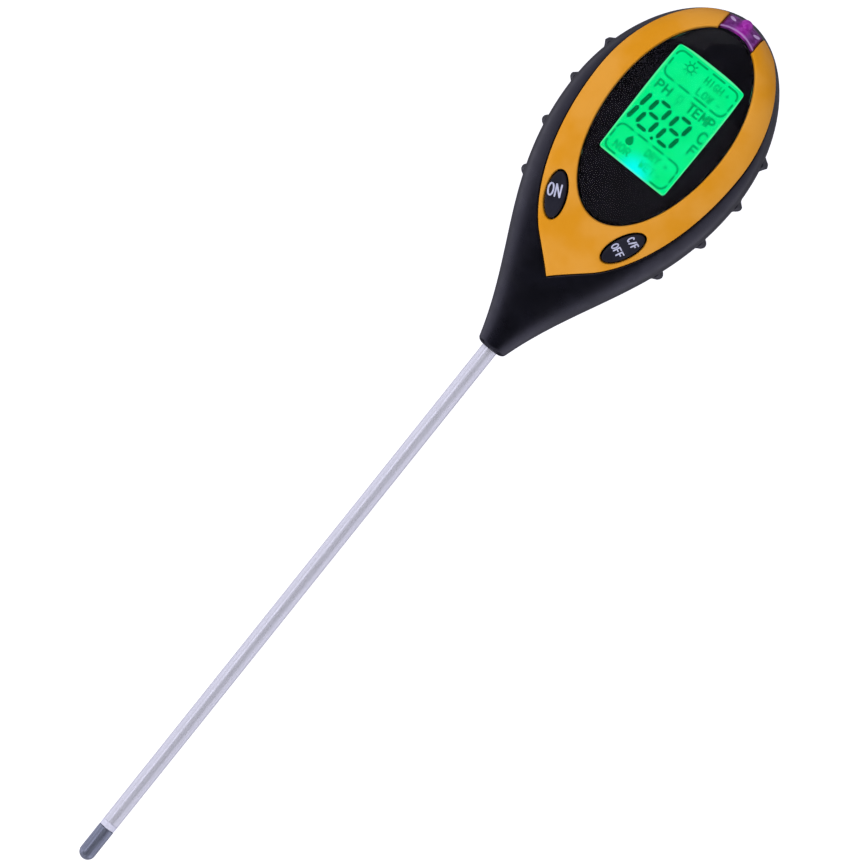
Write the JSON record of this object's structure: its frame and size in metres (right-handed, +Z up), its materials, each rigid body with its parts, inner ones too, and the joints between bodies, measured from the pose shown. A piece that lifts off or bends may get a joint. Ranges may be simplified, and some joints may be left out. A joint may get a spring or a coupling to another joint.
{
  "type": "soil moisture meter",
  "caption": "Hand-held soil meter: teardrop head with backlit display, two buttons, light window and battery door, on a long thin metal probe.",
  "frame": {"origin": "the probe's tip, on the probe's axis", "axes": "+Z up the probe to the head, -Y out of the display, +X to the display's right seen from in front; the meter stands upright as it does in soil"},
  "size_m": [0.0638, 0.0362, 0.3155],
  "materials": {
    "shell": "satin moulded black plastic",
    "trim": "semi-gloss yellow plastic",
    "lens": "clear hard-coated plastic",
    "mask": "black printed film",
    "display": "backlit green display glass",
    "white_plastic": "white moulded plastic",
    "connector_rubber": "striped elastomer",
    "board": "green solder mask",
    "chip": "black moulded plastic and resin",
    "button": "satin black cap with printed marks",
    "light_window": "translucent purple plastic",
    "sensor_lens": "tinted clear resin",
    "battery_case": null,
    "steel": "zinc plated",
    "red_wire": "insulated wire",
    "black_wire": "insulated wire",
    "white_wire": "insulated wire",
    "foam": "closed-cell foam",
    "tube_metal": "satin drawn tube",
    "insulator": "pale plastic",
    "electrode": "dull grey metal",
    "brass": "turned",
    "seal": "nitrile"
  },
  "bodies": {
    "meter": {"front_shell": "shell", "rear_shell": "shell", "face_bezel": "trim", "window_lens": "lens", "window_mask": "mask", "lcd_glass": "display", "lcd_tray": "white_plastic", "backlight_diffuser": "white_plastic", "backlight_led": "white_plastic", "lcd_connector": "connector_rubber", "main_board": "board", "controller_chip": "chip", "on_switch": "chip", "off_switch": "chip", "light_window": "light_window", "light_sensor": "sensor_lens", "battery_9v": "battery_case", "battery_terminal_positive": "steel", "battery_terminal_negative": "steel", "battery_connector": "chip", "battery_lead_red": "red_wire", "battery_lead_black": "black_wire", "probe_tube": "tube_metal", "tip_insulator": "insulator", "electrode_tip": "electrode", "probe_core_wire": "white_wire", "temperature_sensor": "black_wire", "probe_ground_wire": "black_wire", "probe_collar": "brass", "neck_seal": "seal", "shell_screw_1": "steel", "shell_screw_2": "steel", "shell_screw_3": "steel", "shell_screw_4": "steel", "board_screw_1": "steel", "board_screw_2": "steel", "board_screw_3": "steel"},
    "on_button": {"on_button": "button", "on_plunger": "white_plastic"},
    "off_button": {"off_button": "button", "off_plunger": "white_plastic"},
    "battery_door": {"battery_door": "shell", "battery_foam_pad": "foam"}
  },
  "joints": [
    {"name": "on_button_press", "type": "slide", "parent": "meter", "child": "on_button", "axis": [0, 1, 0], "range_m": [0, 0.0006], "stiffness_N_per_m": 1500},
    {"name": "off_button_press", "type": "slide", "parent": "meter", "child": "off_button", "axis": [0, 1, 0], "range_m": [0, 0.0006], "stiffness_N_per_m": 1500},
    {"name": "battery_door_hinge", "type": "hinge", "parent": "meter", "child": "battery_door", "pos_m": [0, 0.0206, 0.2418], "axis": [-1, 0, 0], "range_deg": [0, 75]}
  ]
}
